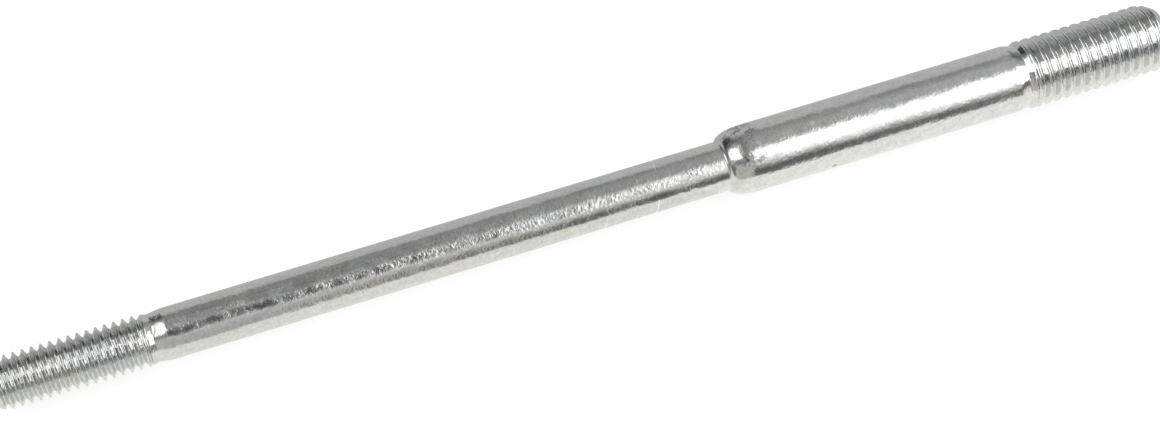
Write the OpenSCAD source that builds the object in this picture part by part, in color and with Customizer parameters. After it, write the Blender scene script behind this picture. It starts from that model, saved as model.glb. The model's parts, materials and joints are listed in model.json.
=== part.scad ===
// Cylinder head stud: a stepped, zinc plated steel stud with a rolled thread on each end.
// The slim end takes the nut above the cylinder head, and the thick end screws into the crankcase.
// The stud lies along X with its slim end towards -X, its middle over the origin and its lowest
// point on the ground at z = 0.

/* [Overall] */
// Length from end face to end face
stud_l = 138; // [128:0.5:170]
// How far the thick part's shoulder stands from the slim end face
shoulder_at = 83.7; // [76:0.1:92]

/* [Nut end] */
// Diameter over the crests of the slim thread, a coarse M6
nut_thread_d = 5.87; // [5.8:0.01:5.97]
// Pitch of the slim thread
nut_pitch = 1; // [0.75:0.25:1]
// Length of full thread, measured from the slim end face
nut_thread_l = 16.6; // [10:0.1:30]
// Length of run-out, over which the slim thread's groove grows shallower
nut_runout_l = 1.1; // [1:0.1:2]
// Length over which the crests of the slim thread fall to its neck
nut_fall_l = 1; // [0.4:0.1:1]
// Angle about the stud's axis at which the slim thread starts
nut_start = 210; // [0:5:355]

/* [Shanks] */
// How much thinner the slim shank is than the crests of its thread
slim_under = 0.14; // [0.05:0.01:0.25]
// How much thinner the thick shank is than the crests of its thread
thick_under = 0.17; // [0.05:0.01:0.3]
// Length of the taper that joins the slim thread's neck to the slim shank
taper_l = 1.5; // [0.5:0.1:2]
// Length of the bevel that joins the thick thread's neck to the thick shank
bevel_l = 1; // [0.5:0.1:2]
// Length of the shoulder's rounded nose along the axis
nose_l = 3.2; // [2:0.1:4]
// Height of the small fillet in the corner before the nose
corner_h = 0.16; // [0.1:0.02:0.3]

/* [Case end] */
// Diameter over the crests of the thick thread, a coarse M8
case_thread_d = 7.97; // [7.8:0.01:7.97]
// Pitch of the thick thread
case_pitch = 1.25; // [1:0.25:1.25]
// Length of full thread, measured from the thick end face
case_thread_l = 16.2; // [10:0.1:30]
// Length of run-out, over which the thick thread's groove grows shallower
case_runout_l = 1.5; // [1.4:0.1:3]
// Length over which the crests of the thick thread fall to its neck
case_fall_l = 0.6; // [0.4:0.1:1.4]
// Angle about the stud's axis at which the thick thread starts
case_start = 150; // [0:5:355]

/* [Threads] */
// Diameter of the necks behind the threads, as a share of the diameter over the crests
neck_share = 0.91; // [0.9:0.005:0.94]
// Length of the plain neck behind each thread
neck_l = 0.1; // [0.1:0.1:1.5]
// Steps in one turn of a thread
turn_steps = 30; // [24:2:36]

/* [Hidden] */
$fn = 96;

// ISO metric profile of an outside thread, as shares of the pitch: flanks 60 degrees apart, a crest
// 1/8 wide and a root 1/6 wide at 17/24 of the sharp triangle's height
flank_angle = 30;
depth_share = 17/24*cos(flank_angle);
root_share = 1/6;
// How far a cutting section stands out of the metal, which also clears the chords of its steps
overcut = 0.05;
// End chamfers run at 30 degrees to the axis, down to a little inside the root of the thread
chamfer_slope = tan(30);
face_inset = 0.04;

slim_r = (nut_thread_d - slim_under)/2;
thick_r = (case_thread_d - thick_under)/2;

// The nose is a quarter of an ellipse that rises from the slim shank and runs level into the thick
// one. The fillet meets it where the ellipse has turned by corner_turn.
step_h = thick_r - slim_r;
corner_turn = asin(corner_h/step_h);
corner_slope = atan(step_h*cos(corner_turn)/(nose_l*sin(corner_turn)));
fillet_r = corner_h/(1 - cos(corner_slope));
fillet_at = shoulder_at + nose_l*(1 - cos(corner_turn)) - fillet_r*sin(corner_slope);
fillet_steps = 4;
nose_steps = 14;

// The blank's outline is drawn as [radius, distance along the axis]

// One threaded end with its face at 0: chamfer, crests, run-out, neck and the rise to its shank
function end_outline(thread_d, pitch, thread_l, runout_l, fall_l, shank_r, rise_l) =
  let (
    crest_r = thread_d/2,
    face_r = crest_r - depth_share*pitch - face_inset,
    neck_r = neck_share*crest_r,
    neck_at = thread_l + runout_l
  ) [
    [0, 0],
    [face_r, 0],
    [crest_r, (crest_r - face_r)/chamfer_slope],
    [crest_r, neck_at - fall_l],
    [neck_r, neck_at],
    [neck_r, neck_at + neck_l],
    [shank_r, neck_at + neck_l + rise_l]
  ];

nut_outline = end_outline(
  nut_thread_d, nut_pitch, nut_thread_l, nut_runout_l, nut_fall_l, slim_r, taper_l
);
case_outline = end_outline(
  case_thread_d, case_pitch, case_thread_l, case_runout_l, case_fall_l, thick_r, bevel_l
);

fillet_outline = [
  for (i = [0:fillet_steps])
    let (turn = corner_slope*i/fillet_steps)
      [slim_r + fillet_r*(1 - cos(turn)), fillet_at + fillet_r*sin(turn)]
];

nose_outline = [
  for (i = [1:nose_steps])
    let (turn = corner_turn + (90 - corner_turn)*i/nose_steps)
      [slim_r + step_h*sin(turn), shoulder_at + nose_l*(1 - cos(turn))]
];

module blank()
  rotate_extrude()
    polygon(concat(
      nut_outline,
      fillet_outline,
      nose_outline,
      [for (i = [len(case_outline) - 1:-1:0]) [case_outline[i][0], stud_l - case_outline[i][1]]]
    ));

// Right-handed thread groove that starts outside the end face at 0 and rises out of the run-out

function groove_points(root_r, end_r, out_r, root_w, pitch, first, fade_at, fade_l, steps) = [
  for (i = [0:steps])
    let (
      angle = 360*i/turn_steps,
      height = first + pitch*i/turn_steps,
      low_r = root_r + (end_r - root_r)*min(1, max(0, (height - fade_at)/fade_l)),
      low_w = root_w + 2*(low_r - root_r)*tan(flank_angle),
      out_w = root_w + 2*(out_r - root_r)*tan(flank_angle)
    )
    for (corner = [[out_r, -out_w/2], [low_r, -low_w/2], [low_r, low_w/2], [out_r, out_w/2]])
      [corner[0]*cos(angle), corner[0]*sin(angle), height + corner[1]]
];

function groove_faces(steps) = [
  [0, 1, 2, 3],
  for (i = [0:steps - 1], k = [0:3])
    let (a = 4*i + k, b = 4*i + (k + 1)%4)
    each [[a, a + 4, b], [b, a + 4, b + 4]],
  [for (k = [3:-1:0]) 4*steps + k]
];

module groove(thread_d, pitch, thread_l, runout_l) {
  crest_r = thread_d/2;
  root_r = crest_r - depth_share*pitch;
  out_r = crest_r + overcut;
  root_w = root_share*pitch;
  fade_l = runout_l - root_w/2 - (out_r - root_r)*tan(flank_angle);
  end_r = crest_r + overcut/2;
  steps = ceil((thread_l + fade_l + pitch)/pitch*turn_steps);
  polyhedron(
    points = groove_points(root_r, end_r, out_r, root_w, pitch, -pitch, thread_l, fade_l, steps),
    faces = groove_faces(steps),
    convexity = 20
  );
}

module stud()
  color("silver")
    translate([-stud_l/2, 0, max(thick_r, case_thread_d/2)])
      rotate([0, 90, 0])
        difference() {
          blank();
          rotate([0, 0, nut_start])
            groove(nut_thread_d, nut_pitch, nut_thread_l, nut_runout_l);
          translate([0, 0, stud_l]) rotate([180, 0, case_start])
            groove(case_thread_d, case_pitch, case_thread_l, case_runout_l);
        }

stud();
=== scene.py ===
import json
import math

import bmesh
import bpy
from mathutils import Matrix, Vector


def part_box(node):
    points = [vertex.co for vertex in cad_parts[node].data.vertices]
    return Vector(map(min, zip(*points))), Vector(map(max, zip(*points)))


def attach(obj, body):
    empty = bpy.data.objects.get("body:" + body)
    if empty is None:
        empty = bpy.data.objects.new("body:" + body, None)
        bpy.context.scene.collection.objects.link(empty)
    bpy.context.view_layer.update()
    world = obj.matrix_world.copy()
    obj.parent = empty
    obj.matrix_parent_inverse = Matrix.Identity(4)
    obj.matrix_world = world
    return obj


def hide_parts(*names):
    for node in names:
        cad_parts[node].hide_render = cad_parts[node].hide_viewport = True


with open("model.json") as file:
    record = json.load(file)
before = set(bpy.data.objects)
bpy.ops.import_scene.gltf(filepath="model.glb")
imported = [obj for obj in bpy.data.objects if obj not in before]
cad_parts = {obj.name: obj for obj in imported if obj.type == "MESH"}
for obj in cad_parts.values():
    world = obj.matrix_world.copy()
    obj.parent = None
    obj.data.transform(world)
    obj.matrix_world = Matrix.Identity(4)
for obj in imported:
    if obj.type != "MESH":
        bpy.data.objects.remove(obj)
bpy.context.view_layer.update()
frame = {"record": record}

# A stepped cylinder head stud lying on a pale table. The steel is turned and rolled from the sizes
# that the frame holds, then finished as bright zinc plate. Lengths are in metres.

mounts = {mount["name"]: mount for mount in frame["record"]["mounts"]}
axisHeight = mounts["slim_shank"]["pos_m"][2]
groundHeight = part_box("stud")[0][2]
millimetre = 0.001


def wallSpan(name):  # where a mount's wall starts and ends along X
    mount = mounts[name]
    half = mount["dims"]["length_mm"] * millimetre / 2
    return mount["pos_m"][0] - half, mount["pos_m"][0] + half


def wallRadius(name):
    return mounts[name]["dims"]["r_mm"] * millimetre


# One way to write node maths, for geometry and for shaders

class Signal:
    def __init__(self, tree, socket):
        self.tree = tree
        self.socket = socket

    def node(self, kind, settings=None, values=None, output=0):
        return addNode(self.tree, kind, settings, values, output)

    def maths(self, operation, *others):  # the signal itself is the first input
        return self.node("ShaderNodeMath", {"operation": operation}, dict(enumerate((self, *others))))

    def __add__(self, other):
        return self.maths("ADD", other)

    __radd__ = __add__

    def __sub__(self, other):
        return self.maths("SUBTRACT", other)

    def __rsub__(self, other):
        return self * -1 + other

    def __mul__(self, other):
        return self.maths("MULTIPLY", other)

    __rmul__ = __mul__

    def __truediv__(self, other):
        return self.maths("DIVIDE", other)

    def clamp(self, low=0.0, high=1.0):
        return self.maths("MAXIMUM", low).maths("MINIMUM", high)

    def smooth(self, low, high):  # 0 below low, 1 above high, soft between
        return self.node("ShaderNodeMapRange", {"interpolation_type": "SMOOTHSTEP"},
                         {"Value": self, "From Min": low, "From Max": high})

    def split(self):  # the X, Y and Z of a vector
        node = self.node("ShaderNodeSeparateXYZ", None, {"Vector": self}).socket.node
        return [Signal(self.tree, output) for output in node.outputs]


def addNode(tree, kind, settings=None, values=None, output=0):
    made = tree.nodes.new(kind)
    for name, value in (settings or {}).items():
        setattr(made, name, value)
    for name, value in (values or {}).items():
        socket = made.inputs[name]
        if isinstance(value, Signal):
            tree.links.new(value.socket, socket)
        else:
            socket.default_value = value
    if len(made.outputs):
        return Signal(tree, made.outputs[output])


def bareMaterial(name):  # a material and its empty tree
    material = bpy.data.materials.new(name)
    material.use_nodes = True
    material.node_tree.nodes.clear()
    return material, material.node_tree


# Each thread is a helical grid wrapped round the axis. The shanks' rings and two flat end faces close it.

threadForm = {
    "around": 120,          # steps in one turn
    "perPitch": 20,         # steps across one pitch
    "crowding": 0.05,       # of the pitch, by which the steps draw together at the crest and the root
    "crestFlat": 1 / 8,     # this and the next three are shares of the pitch
    "rootFlat": 1 / 6,
    "crestRound": 0.04,
    "rootRound": 0.06,
    "flankSlope": math.tan(math.radians(60)),
    "chamferSlope": math.tan(math.radians(30)),
    "faceInset": 0.04 * millimetre,     # how far below the root the chamfer meets the end face
    "neckShare": 0.91,      # neck diameter over crest diameter
    "neckLength": 0.1 * millimetre,
    "clearance": 0.025 * millimetre,    # how far above the crests a groove ends
    "weld": 0.001 * millimetre,         # closes the seam where the grid meets itself
}
nutThread = {"mount": "nut_thread", "pitch": 1.0 * millimetre, "runout": 1.1 * millimetre,
             "fall": 1.0 * millimetre, "startDegrees": 300, "direction": 1}
caseThread = {"mount": "case_thread", "pitch": 1.25 * millimetre, "runout": 1.5 * millimetre,
              "fall": 0.6 * millimetre, "startDegrees": 120, "direction": -1}


def threadSizes(thread):
    pitch, runout = thread["pitch"], thread["runout"]
    crest = wallRadius(thread["mount"])
    start, end = wallSpan(thread["mount"])
    length = end - start
    rootFlat, slope = threadForm["rootFlat"] * pitch, threadForm["flankSlope"]
    depth = ((1 - threadForm["crestFlat"]) * pitch - rootFlat) / 2 * slope
    return {
        "Pitch": pitch,
        "Crest Radius": crest,
        "Root Radius": crest - depth,
        "Face Radius": crest - depth - threadForm["faceInset"],
        "Faded Radius": crest + threadForm["clearance"],
        "Neck Radius": threadForm["neckShare"] * crest,
        "Full Length": length,
        "Fall Length": thread["fall"],
        "Fade Length": runout - rootFlat / 2 - depth / slope,
        "Neck Start": length + runout,
        "Neck End": length + runout + threadForm["neckLength"],
        "Start Angle": math.radians(thread["startDegrees"]),
        "End Face": start if thread["direction"] > 0 else end,
        "Direction": float(thread["direction"]),
        "Axis Height": axisHeight,
    }


def threadTree():
    tree = bpy.data.node_groups.new("rolledThread", "GeometryNodeTree")
    face = tree.interface
    face.new_socket("Geometry", in_out="INPUT", socket_type="NodeSocketGeometry")
    for name in threadSizes(nutThread):
        face.new_socket(name, in_out="INPUT", socket_type="NodeSocketFloat")
    for name in ("Turns", "Around", "Per Pitch"):
        face.new_socket(name, in_out="INPUT", socket_type="NodeSocketInt")
    face.new_socket("Finish", in_out="INPUT", socket_type="NodeSocketMaterial")
    face.new_socket("Geometry", in_out="OUTPUT", socket_type="NodeSocketGeometry")
    entry = tree.nodes.new("NodeGroupInput")
    given = {socket.name: Signal(tree, socket) for socket in entry.outputs if socket.name}
    pitch, direction = given["Pitch"], given["Direction"]

    # The grid lies about its middle, from -0.5 to 0.5. Its rows count turns, from one outside the end face.
    sheet = addNode(tree, "GeometryNodeMeshGrid", None, {
        "Size X": 1.0, "Size Y": 1.0,
        "Vertices X": given["Around"] + 1, "Vertices Y": given["Turns"] * given["Per Pitch"] + 1})
    across, down, _ = addNode(tree, "GeometryNodeInputPosition").split()
    turn = across + 0.5
    row = (down + 0.5) * given["Turns"] - 1
    row = row - (row * (2 * math.tau)).maths("SINE") * threadForm["crowding"]

    # Distance along the axis from the end face, held inside the threaded stretch
    along = ((row + turn) * pitch).clamp(0.0, given["Neck End"])

    # The groove between two flanks, its crest and root rounded, fades out behind the full thread
    fromCrest = row.maths("PINGPONG", 0.5) * pitch
    flank = (threadForm["crestFlat"] / 2 * pitch - fromCrest) * threadForm["flankSlope"]
    radius = (flank + given["Crest Radius"]).maths(
        "SMOOTH_MIN", given["Crest Radius"], threadForm["crestRound"] * pitch)
    rise = ((along - given["Full Length"]) / given["Fade Length"]).clamp()
    floor = given["Root Radius"] + rise * (given["Faded Radius"] - given["Root Radius"])
    radius = radius.maths("SMOOTH_MAX", floor, threadForm["rootRound"] * pitch)

    # The blank's chamfer and its fall to the neck cut the crests down
    chamfer = given["Face Radius"] + along * threadForm["chamferSlope"]
    fall = (given["Crest Radius"] - given["Neck Radius"]) / given["Fall Length"]
    runout = given["Neck Radius"] + (given["Neck Start"] - along).maths("MAXIMUM", 0.0) * fall
    radius = radius.maths("MINIMUM", chamfer).maths("MINIMUM", runout)

    angle = turn * math.tau + given["Start Angle"]
    spot = addNode(tree, "ShaderNodeCombineXYZ", None, {
        "X": given["End Face"] + direction * along,
        "Y": radius * angle.maths("COSINE"),
        "Z": given["Axis Height"] + direction * radius * angle.maths("SINE")})
    wrapped = addNode(tree, "GeometryNodeSetPosition", None, {"Geometry": sheet, "Position": spot})
    closed = addNode(tree, "GeometryNodeMergeByDistance", None, {
        "Geometry": wrapped, "Distance": threadForm["weld"]})
    real = addNode(tree, "GeometryNodeRealizeInstances", None, {"Geometry": closed})
    dressed = addNode(tree, "GeometryNodeSetMaterial", None, {"Geometry": real, "Material": given["Finish"]})
    addNode(tree, "NodeGroupOutput", None, {"Geometry": dressed})
    return tree


def threadMesh(tree, thread, finish):
    sizes = threadSizes(thread)
    turns = math.ceil(sizes["Neck End"] / sizes["Pitch"]) + 1
    sizes.update({"Turns": turns, "Around": threadForm["around"], "Per Pitch": threadForm["perPitch"],
                  "Finish": finish})
    holder = bpy.data.objects.new(thread["mount"], bpy.data.meshes.new(thread["mount"]))
    bpy.context.scene.collection.objects.link(holder)
    modifier = holder.modifiers.new("thread", "NODES")
    modifier.node_group = tree
    for item in tree.interface.items_tree:
        if item.in_out == "INPUT" and item.name in sizes:
            modifier[item.identifier] = sizes[item.name]
    ready = holder.evaluated_get(bpy.context.evaluated_depsgraph_get())
    mesh = bpy.data.meshes.new_from_object(ready)
    bpy.data.objects.remove(holder)
    return mesh


# The turned length between the two threads: taper, slim shank, shoulder, thick shank and bevel

shankForm = {
    "noseLength": 3.2 * millimetre,     # a quarter of an ellipse, level where it meets the thick shank
    "cornerHeight": 0.16 * millimetre,  # how high the fillet climbs before the nose takes over
    "noseSteps": 24,
    "filletSteps": 8,
    "taperRound": 0.12 * millimetre,
    "bevelRound": 0.33 * millimetre,
    "mostRound": 1 / 3,                 # of the shorter side of a corner
    "roundSteps": 5,
    "edgeRing": 0.08,                   # of a slope's length, from its edge to the ring beside it
}


def softened(outline, reach):  # each corner becomes a short curve
    points = [outline[0]]
    for before, corner, after in zip(outline, outline[1:], outline[2:]):
        here, back, ahead = Vector(corner), Vector(before), Vector(after)
        toBack, toAhead = back - here, ahead - here
        enter = here + toBack.normalized() * min(reach, toBack.length * shankForm["mostRound"])
        leave = here + toAhead.normalized() * min(reach, toAhead.length * shankForm["mostRound"])
        for count in range(shankForm["roundSteps"] + 1):
            share = count / shankForm["roundSteps"]
            points.append(tuple(enter.lerp(here, share).lerp(here.lerp(leave, share), share)))
    return points + [outline[-1]]


def edgeAndRing(edge, ahead):  # a ring close to the edge keeps the shading of the slope behind it true
    return [edge, tuple(Vector(edge).lerp(Vector(ahead), shankForm["edgeRing"]))]


def shoulderOutline(slimEnd, slim, thickStart, thick):
    length, step = shankForm["noseLength"], thick - slim
    cornerTurn = math.asin(shankForm["cornerHeight"] / step)
    cornerSlope = math.atan(step * math.cos(cornerTurn) / (length * math.sin(cornerTurn)))
    fillet = shankForm["cornerHeight"] / (1 - math.cos(cornerSlope))
    outline = []
    for count in range(shankForm["filletSteps"] + 1):
        turn = cornerSlope * count / shankForm["filletSteps"]
        outline.append((slimEnd + fillet * math.sin(turn), slim + fillet * (1 - math.cos(turn))))
    for count in range(1, shankForm["noseSteps"] + 1):
        turn = cornerTurn + (math.pi / 2 - cornerTurn) * count / shankForm["noseSteps"]
        outline.append((thickStart - length * math.cos(turn), slim + step * math.sin(turn)))
    return outline


def shankOutline():
    nut, case = threadSizes(nutThread), threadSizes(caseThread)
    slimStart, slimEnd = wallSpan("slim_shank")
    thickStart, thickEnd = wallSpan("thick_shank")
    slim, thick = wallRadius("slim_shank"), wallRadius("thick_shank")
    nutNeck = (nut["End Face"] + nut["Neck End"], nut["Neck Radius"])
    caseNeck = (case["End Face"] - case["Neck End"], case["Neck Radius"])
    taper = edgeAndRing(nutNeck, (slimStart, slim))
    bevel = edgeAndRing(caseNeck, (thickEnd, thick))
    before = softened([*taper, (slimStart, slim), (slimEnd, slim)], shankForm["taperRound"])
    behind = softened([(thickStart, thick), (thickEnd, thick), *reversed(bevel)], shankForm["bevelRound"])
    return before[:-1] + shoulderOutline(slimEnd, slim, thickStart, thick) + behind[1:]


def revolve(outline, around):
    shape = bmesh.new()
    rings = []
    for along, radius in outline:
        turns = [math.tau * step / around for step in range(around)]
        rings.append([shape.verts.new((along, radius * math.cos(turn), axisHeight + radius * math.sin(turn)))
                      for turn in turns])
    for ring, following in zip(rings, rings[1:]):
        for step in range(around):
            after = (step + 1) % around
            shape.faces.new((ring[step], ring[after], following[after], following[step]))
    mesh = bpy.data.meshes.new("shanks")
    shape.to_mesh(mesh)
    shape.free()
    return mesh


studForm = {
    "weld": 0.002 * millimetre,         # joins the shanks to the threads
    "shortest": 0.0001 * millimetre,    # edges under this vanish
}


def buildStud(finish):
    tree = threadTree()
    parts = [threadMesh(tree, nutThread, finish), threadMesh(tree, caseThread, finish),
             revolve(shankOutline(), threadForm["around"])]
    whole = bmesh.new()
    for part in parts:
        whole.from_mesh(part)
        bpy.data.meshes.remove(part)
    bmesh.ops.remove_doubles(whole, verts=whole.verts, dist=studForm["weld"])
    bmesh.ops.dissolve_degenerate(whole, dist=studForm["shortest"], edges=whole.edges)
    rims = [edge for edge in whole.edges if edge.is_boundary]
    bmesh.ops.holes_fill(whole, edges=rims, sides=0)
    bmesh.ops.recalc_face_normals(whole, faces=whole.faces)
    for face in whole.faces:
        face.smooth = len(face.verts) <= 4      # all but the two end faces
    loose = [edge for edge in whole.edges if not edge.is_manifold]
    mesh = bpy.data.meshes.new("studSteel")
    whole.to_mesh(mesh)
    whole.free()
    mesh.materials.clear()
    mesh.materials.append(finish)
    piece = bpy.data.objects.new("studSteel", mesh)
    bpy.context.scene.collection.objects.link(piece)
    print("stage: stud has", len(mesh.polygons), "faces and", len(loose), "open edges")
    return piece


# Sizes in the finish are in millimetres. "along" is X, and "round" the angle from straight up in degrees.
zincLook = {
    "colour": (0.70, 0.71, 0.70),
    "shade": {"speckle": 0.3, "blotch": 0.3},       # how much the mottling lightens and darkens it
    "tint": {"most": 0.10, "shares": (1, 0.2, -1)},     # warm to cool, and its part in red, green and blue
    "roughness": 0.10,
    "dullness": 0.14,                               # added where the plating is blotchy
    # Each grain has a size along X, Y and Z
    "speckle": {"size": (0.32, 0.40, 0.40), "height": 0.029, "detail": 2.0},
    "blotch": {"size": (1.5, 0.9, 0.9), "height": 0.034, "detail": 2.0},
    "wave": {"size": (6.0, 3.0, 3.0), "height": 0.080, "detail": 1.0},
    # The speckle stands higher in places
    "uneven": {"level": 0.6, "blotch": 3, "wave": 2, "least": 0.2, "most": 1.2},
    # The roots of the threads are a little darker in red, green and blue: painted shade in the hollows, and
    # partly duller plating
    "grooves": {"dark": (0.06, 0.03, 0.04), "soft": 1.2},
    # Round the shoulder, from a little before it, blotchy patches on its top and far side are darker and
    # rougher
    "shoulder": {"from": -0.4, "to": 1.6, "soft": 1.2, "round": (-45, -30), "grain": 1.5,
                 "patches": (-0.05, 0.3), "dark": 0.55, "rough": 0.15},
    "rings": {"width": 0.10, "slant": 0.45, "at": (6.5, 4.2, 0.4), "bright": (0.5, 0.2, 0.2), "patchy": 4},
    "tarnish": {"along": 15.6, "round": -48, "radius": 1.6, "tint": 0.06},     # a brown spot on the shoulder
    "nicks": {
        # The dark spot is painted shade standing in for a small dent; the two light spots are scuffed and
        # rubbed plating
        "dent": {"along": 26.8, "round": -89, "radius": 0.45, "shade": -0.5},
        "scuff": {"along": 25.1, "round": 5, "radius": 0.40, "shade": 0.30},
        "rub": {"along": 18.5, "round": -2, "radius": 0.40, "shade": 0.25},
    },
    "spotCore": 0.4,        # of a spot's radius, inside which it is full
}


def zincPlate():
    material, tree = bareMaterial("brightZincPlate")
    place = addNode(tree, "ShaderNodeTexCoord", output="Object")
    x, y, z = (part / millimetre for part in place.split())
    z = z - axisHeight / millimetre
    radius = (y * y + z * z).maths("SQRT")
    angle = y.maths("ARCTAN2", z)       # from straight up, in radians

    def grain(name):  # noise about 0
        form = zincLook[name]
        scale = tuple(1 / (size * millimetre) for size in form["size"])
        spread = addNode(tree, "ShaderNodeMapping", None, {"Vector": place, "Scale": scale})
        noise = {"Vector": spread, "Scale": 1.0, "Detail": form["detail"]}
        return addNode(tree, "ShaderNodeTexNoise", None, noise) - 0.5

    # A mask for the painted shade in a thread's roots
    def rootShadeMaskOf(thread):  # 1 in the roots of a thread, 0 on its crests and away from it
        sizes = threadSizes(thread)
        outwards = -thread["direction"]
        edge = (sizes["End Face"] * outwards - sizes["Full Length"]) / millimetre
        inside = (x * outwards).smooth(edge - zincLook["grooves"]["soft"], edge)
        root, crest = sizes["Root Radius"] / millimetre, sizes["Crest Radius"] / millimetre
        return inside * (1 - radius.smooth(root, crest))

    def spot(form):  # 1 in the middle of a round spot on the surface, 0 outside it
        turn = math.radians(form["round"])
        aside = y - radius * math.sin(turn)
        above = z - radius * math.cos(turn)
        off = ((x - form["along"]) * (x - form["along"]) + aside * aside + above * above).maths("SQRT")
        return 1 - off.smooth(form["radius"] * zincLook["spotCore"], form["radius"])

    speckle, blotch, wave = grain("speckle"), grain("blotch"), grain("wave")
    # Painted shade in the roots of both threads
    rootShadeMask = rootShadeMaskOf(nutThread) + rootShadeMaskOf(caseThread)

    # Darker, rougher patches round the shoulder, on its top and far side
    shoulderPatch = zincLook["shoulder"]
    start = wallSpan("slim_shank")[1] / millimetre + shoulderPatch["from"]
    end = wallSpan("thick_shank")[0] / millimetre + shoulderPatch["to"]
    near = x.smooth(start, start + shoulderPatch["soft"]) * (1 - x.smooth(end - shoulderPatch["soft"], end))
    near = near * (angle * math.degrees(1)).smooth(*shoulderPatch["round"])
    patchy = near * ((blotch + speckle) * shoulderPatch["grain"]).smooth(*shoulderPatch["patches"])

    marks = 0
    rings = zincLook["rings"]
    for along, bright in zip(rings["at"], rings["bright"]):
        off = (x - along - angle * rings["slant"]).maths("ABSOLUTE")
        ring = 1 - off.smooth(rings["width"] / 2, rings["width"])
        marks = ring * bright * (0.5 + blotch * rings["patchy"]).clamp() + marks
    # Small spots lighten or darken the plating; the darkened one is painted shade of a dent
    for spotMark in zincLook["nicks"].values():
        marks = marks + spot(spotMark) * spotMark["shade"]

    shade = 1 + speckle * zincLook["shade"]["speckle"] + blotch * zincLook["shade"]["blotch"] + marks
    shade = shade * (1 - patchy * shoulderPatch["dark"])
    tint = wave * zincLook["tint"]["most"] + spot(zincLook["tarnish"]) * zincLook["tarnish"]["tint"]
    channels = {}
    # Each channel carries the mottling, the tint and the painted shade of the thread roots
    for index, name in enumerate(("Red", "Green", "Blue")):
        tinted = shade * zincLook["colour"][index] * (1 + tint * zincLook["tint"]["shares"][index])
        channels[name] = (tinted * (1 - rootShadeMask * zincLook["grooves"]["dark"][index])).clamp()
    colour = addNode(tree, "ShaderNodeCombineColor", None, channels)

    roughness = zincLook["roughness"] + (0.5 + blotch).clamp() * zincLook["dullness"]
    roughness = roughness + patchy * shoulderPatch["rough"]
    form = zincLook["uneven"]
    uneven = form["level"] + blotch * form["blotch"] + wave * form["wave"]
    height = (speckle * uneven.clamp(form["least"], form["most"]) * zincLook["speckle"]["height"]
              + blotch * zincLook["blotch"]["height"] + wave * zincLook["wave"]["height"])
    bump = addNode(tree, "ShaderNodeBump", None, {"Height": height, "Distance": millimetre})
    shader = addNode(tree, "ShaderNodeBsdfPrincipled", None, {
        "Metallic": 1.0, "Base Color": colour, "Roughness": roughness, "Normal": bump})
    addNode(tree, "ShaderNodeOutputMaterial", None, {"Surface": shader})
    return material


def levelSheet(name, near, far, height):  # a flat sheet between two corners
    (left, front), (right, back) = near, far
    mesh = bpy.data.meshes.new(name)
    corners = [(left, front, height), (right, front, height), (right, back, height), (left, back, height)]
    mesh.from_pydata(corners, [], [(0, 1, 2, 3)])
    sheet = bpy.data.objects.new(name, mesh)
    bpy.context.scene.collection.objects.link(sheet)
    return sheet


tableLook = {
    "size": 6.0,
    "colour": (0.30, 0.30, 0.30, 1.0),
    "roughness": 0.9,
    "gloss": 0.1,
    "lift": {"Is Camera Ray": 0.78, "Is Glossy Ray": 0.70},     # its own glow towards each kind of ray
}


def layTable():
    half = tableLook["size"] / 2
    table = levelSheet("table", (-half, -half), (half, half), groundHeight)
    material, tree = bareMaterial("paleTable")
    lift = 0
    for ray, level in tableLook["lift"].items():
        lift = addNode(tree, "ShaderNodeLightPath", output=ray) * level + lift
    shader = addNode(tree, "ShaderNodeBsdfPrincipled", None, {
        "Base Color": tableLook["colour"], "Roughness": tableLook["roughness"],
        "Specular IOR Level": tableLook["gloss"],
        "Emission Color": (1.0, 1.0, 1.0, 1.0), "Emission Strength": lift})
    addNode(tree, "ShaderNodeOutputMaterial", None, {"Surface": shader})
    table.data.materials.append(material)


# Grey papers that only the steel sees. They lie a little above the table, each between two corners.
paperLook = {
    "behind": {"from": (-0.8, 0.005), "to": (0.8, 0.8), "colour": (0.56, 0.56, 0.56)},
    "beforeSlim": {"from": (-0.8, -0.8), "to": (0.014, -0.001), "colour": (0.93, 0.92, 0.88)},
    "beforeThick": {"from": (0.014, -0.8), "to": (0.8, -0.001), "colour": (1.04, 1.03, 0.99)},
}
paperHeight = 0.2 * millimetre


def layPapers():
    for name, paper in paperLook.items():
        sheet = levelSheet(name, paper["from"], paper["to"], groundHeight + paperHeight)
        material, tree = bareMaterial(name)
        glow = addNode(tree, "ShaderNodeEmission", None, {"Color": (*paper["colour"], 1.0)})
        addNode(tree, "ShaderNodeOutputMaterial", None, {"Surface": glow})
        sheet.data.materials.append(material)
        sheet.visible_camera = False
        sheet.visible_diffuse = False
        sheet.visible_shadow = False


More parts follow.
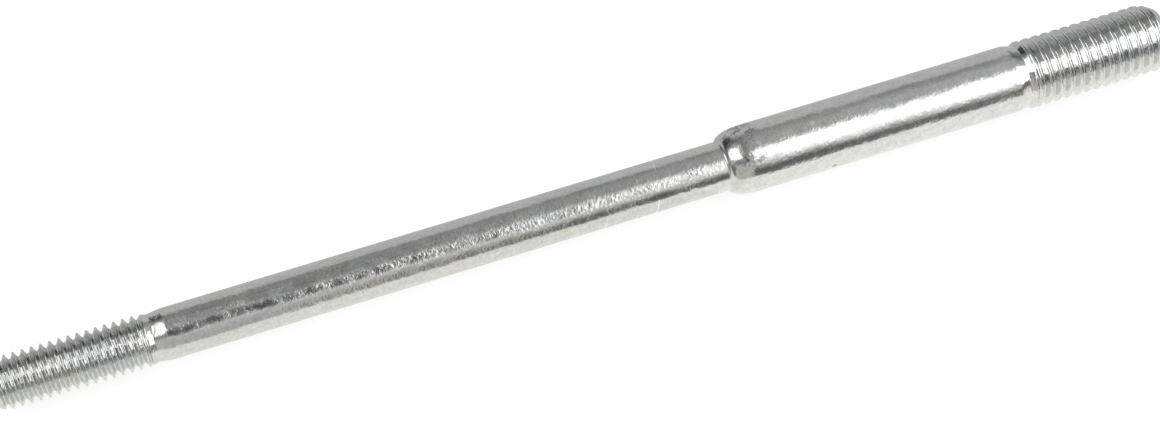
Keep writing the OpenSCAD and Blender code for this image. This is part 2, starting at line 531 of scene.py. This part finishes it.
# Directions in the room are two angles in degrees. "round" turns about the stud's axis, from straight
# up towards the far side, and "along" leans from there towards the thick end. Each card adds light
# between the angles at which it starts, is full, begins to fade and ends. A shade takes a share away.
roomLook = {
    "ceiling": 0.25,
    "nearSide": {"level": 0.17, "from": -60, "to": -10, "tint": (1.0, 0.98, 0.94), "tintTo": -20},
    "farWall": {"level": 0.56, "from": 60, "to": 72},
    "cards": {
        "rightBox": {"round": (-74, -20, -15, 9), "along": (2, 16, 24, 32), "level": 1.7},
        "threadBox": {"round": (-52, -44, 4, 14), "along": (22, 30, 46, 56), "level": 2.8},
        "leftBox": {"round": (-24, -12, 30, 40), "along": (-56, -46, -12, -8), "level": 2.0},
        "overhead": {"round": (-44, -34, 34, 44), "along": (-12, -7, -2.5, -0.5), "level": 0.3},
        "rightLamp": {"round": (-50, -40, 10, 25), "along": (34, 44, 70, 80), "level": 0.4},
        "leftLamp": {"round": (-42, -26, 25, 40), "along": (-86, -78, -50, -42), "level": 0.4},
        "nearWall": {"round": (-99, -91, -42, -34), "along": (-44, -36, 4, 10), "level": 0.38},
        "bench": {"round": (-99, -91, -80, -70), "along": (22, 30, 60, 70), "level": 0.55},
        "glow": {"round": (-45, 5, 25, 75), "along": (-7, 23, 60, 80), "level": 0.25},
    },
    # Unevenness of the ceiling and the near side, which fades out towards the far wall
    "clouds": {"scale": 30.0, "detail": 2.0, "strength": 5.0, "least": 0.2, "most": 4.0,
               "from": 45, "to": 60},
    "shades": {
        "camera": {"round": (-40, -28, -14, 0), "along": (-6, -3, 5, 9), "share": 0.97},
        "overhead": {"round": (-12, 6, 36, 46), "along": (-4, -1, 3.5, 6.5), "share": 0.4},
        "nearEdge": {"round": (-92, -78, -66, -58), "along": (4, 10, 13, 17), "share": 0.55},
        "farRight": {"round": (46, 58, 106, 116), "along": (24, 32, 44, 52), "share": 0.6},
        "farLeft": {"round": (50, 62, 108, 118), "along": (-85, -80, -9, -3), "share": 0.9},
    },
}


def lightRoom():
    world = bpy.data.worlds.new("studio")
    bpy.context.scene.world = world
    world.use_nodes = True
    tree = world.node_tree
    tree.nodes.clear()
    way = addNode(tree, "ShaderNodeTexCoord", output="Generated")
    x, y, z = way.split()
    around = y.maths("ARCTAN2", z) * math.degrees(1)
    lengthways = x.maths("ARCSINE") * math.degrees(1)

    def patch(card):  # 1 inside the card, 0 outside, soft between
        inside = 1
        for angle, (start, full, fading, end) in ((around, card["round"]), (lengthways, card["along"])):
            inside = angle.smooth(start, full) * (1 - angle.smooth(fading, end)) * inside
        return inside

    near, wall, clouds = roomLook["nearSide"], roomLook["farWall"], roomLook["clouds"]
    level = near["level"] + around.smooth(near["from"], near["to"]) * (roomLook["ceiling"] - near["level"])
    level = level + around.smooth(wall["from"], wall["to"]) * (wall["level"] - roomLook["ceiling"])
    noise = addNode(tree, "ShaderNodeTexNoise", None, {
        "Vector": way, "Scale": clouds["scale"], "Detail": clouds["detail"]})
    cloudy = (1 + (noise - 0.5) * clouds["strength"]).clamp(clouds["least"], clouds["most"])
    level = level * (1 + (cloudy - 1) * (1 - around.smooth(clouds["from"], clouds["to"])))
    for card in roomLook["cards"].values():
        level = level + patch(card) * card["level"]
    for shade in roomLook["shades"].values():
        level = level * (1 - patch(shade) * shade["share"])

    # The camera sees plain white, and only the near side is tinted
    shown = addNode(tree, "ShaderNodeLightPath", output="Is Camera Ray")
    level = level + shown * (1 - level)
    away = around.smooth(near["from"], near["tintTo"]).maths("MAXIMUM", shown)
    colour = addNode(tree, "ShaderNodeCombineColor", None, {
        name: share + away * (1 - share) for name, share in zip(("Red", "Green", "Blue"), near["tint"])})
    back = addNode(tree, "ShaderNodeBackground", None, {"Color": colour, "Strength": level})
    addNode(tree, "ShaderNodeOutputWorld", None, {"Surface": back})


view = {
    "slope": 16.84,      # how steeply the stud rises across the picture, in degrees
    "slant": 11.25,      # how far its thick end leans away
    "lean": 21,          # angle round the stud between the camera and straight up
    "lens": 83.0,
    "sensor": 36.0,
    "nearest": 0.01,
    "distance": 296.9 * millimetre,
    "centre": -2.33 * millimetre,     # point of the stud's axis at the middle of the picture
    "lift": 0.56 * millimetre,        # how far above the middle of the picture it stands
}


def viewBasis():  # rows are the stud's X, Y and Z as the camera sees them: right, up and towards it
    slope, slant, lean = (math.radians(view[name]) for name in ("slope", "slant", "lean"))
    along = Vector((math.cos(slant) * math.cos(slope), math.cos(slant) * math.sin(slope), -math.sin(slant)))
    across = Vector((-math.sin(slope), math.cos(slope), 0))
    up = math.cos(lean) * along.cross(across) + math.sin(lean) * across
    return Matrix((along, up.cross(along), up))


def placeCamera():
    basis = viewBasis()
    camera = bpy.data.cameras.new("camera")
    camera.lens = view["lens"]
    camera.sensor_width = view["sensor"]
    camera.clip_start = view["nearest"]
    holder = bpy.data.objects.new("camera", camera)
    bpy.context.scene.collection.objects.link(holder)
    target = Vector((view["centre"], 0, axisHeight))
    offset = basis @ Vector((0, view["lift"], -view["distance"]))
    holder.matrix_world = Matrix.Translation(target - offset) @ basis.to_4x4()
    bpy.context.scene.camera = holder


bpy.context.scene.view_settings.view_transform = "Standard"
placeCamera()
layTable()
layPapers()
lightRoom()
print("stage: table, room and camera are up")

zinc = zincPlate()
print("stage: zinc plate is mixed")

stud = buildStud(zinc)
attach(stud, "root")
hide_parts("stud")
